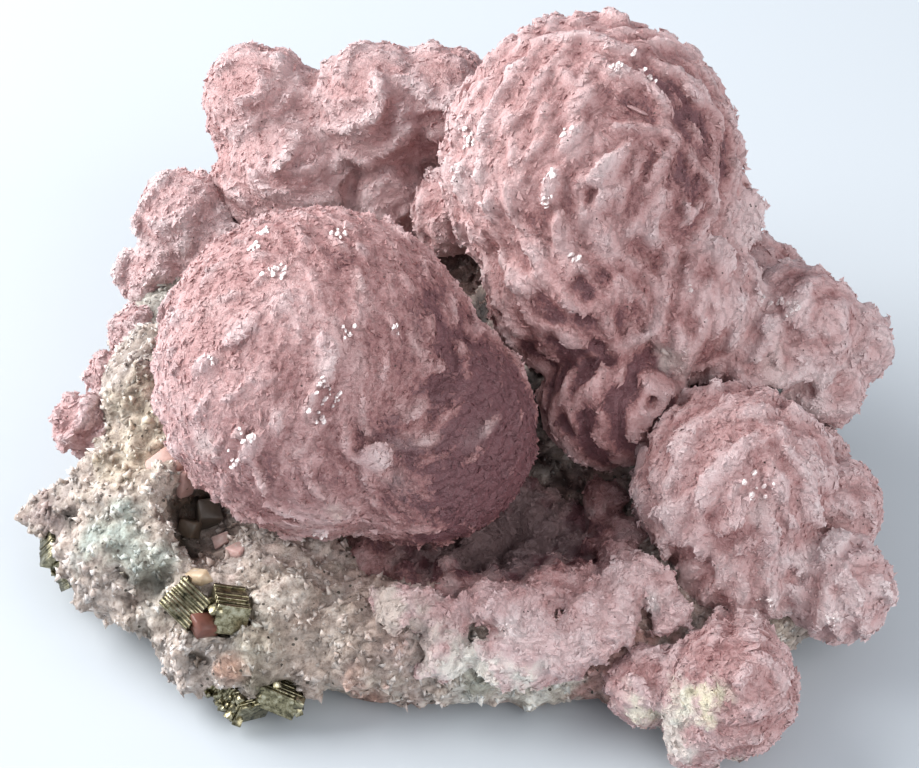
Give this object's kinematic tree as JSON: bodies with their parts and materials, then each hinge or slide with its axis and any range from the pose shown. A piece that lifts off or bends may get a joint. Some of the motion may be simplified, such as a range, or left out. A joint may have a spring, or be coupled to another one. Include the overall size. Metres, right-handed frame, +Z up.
{
  "type": "rhodochrosite specimen",
  "caption": "Natural mineral specimen: rounded rosettes of bladed pink crystals on a plate of rough quartz rock with pyrite cubes, resting on a flat broken underside.",
  "frame": {"origin": "centre of the bounding box, on the flat underside that the specimen rests on", "axes": "+Z up; +X to the right along the longest side; -Y towards the low rim and its hollow"},
  "size_m": [0.0749, 0.0672, 0.0427],
  "materials": {
    "rhodochrosite": "satin",
    "rock": "matte",
    "pyrite": "polished"
  },
  "bodies": {
    "root": {"matrix": "rock", "front_druse": "rhodochrosite", "front_rosette": "rhodochrosite", "top_rosette": "rhodochrosite", "right_rosette": "rhodochrosite", "corner_rosette": "rhodochrosite", "back_rosette": "rhodochrosite", "side_rosette": "rhodochrosite", "edge_rosette": "rhodochrosite", "pyrite_pair": "pyrite", "pyrite_foot": "pyrite", "pyrite_tip": "pyrite"}
  },
  "joints": []
}
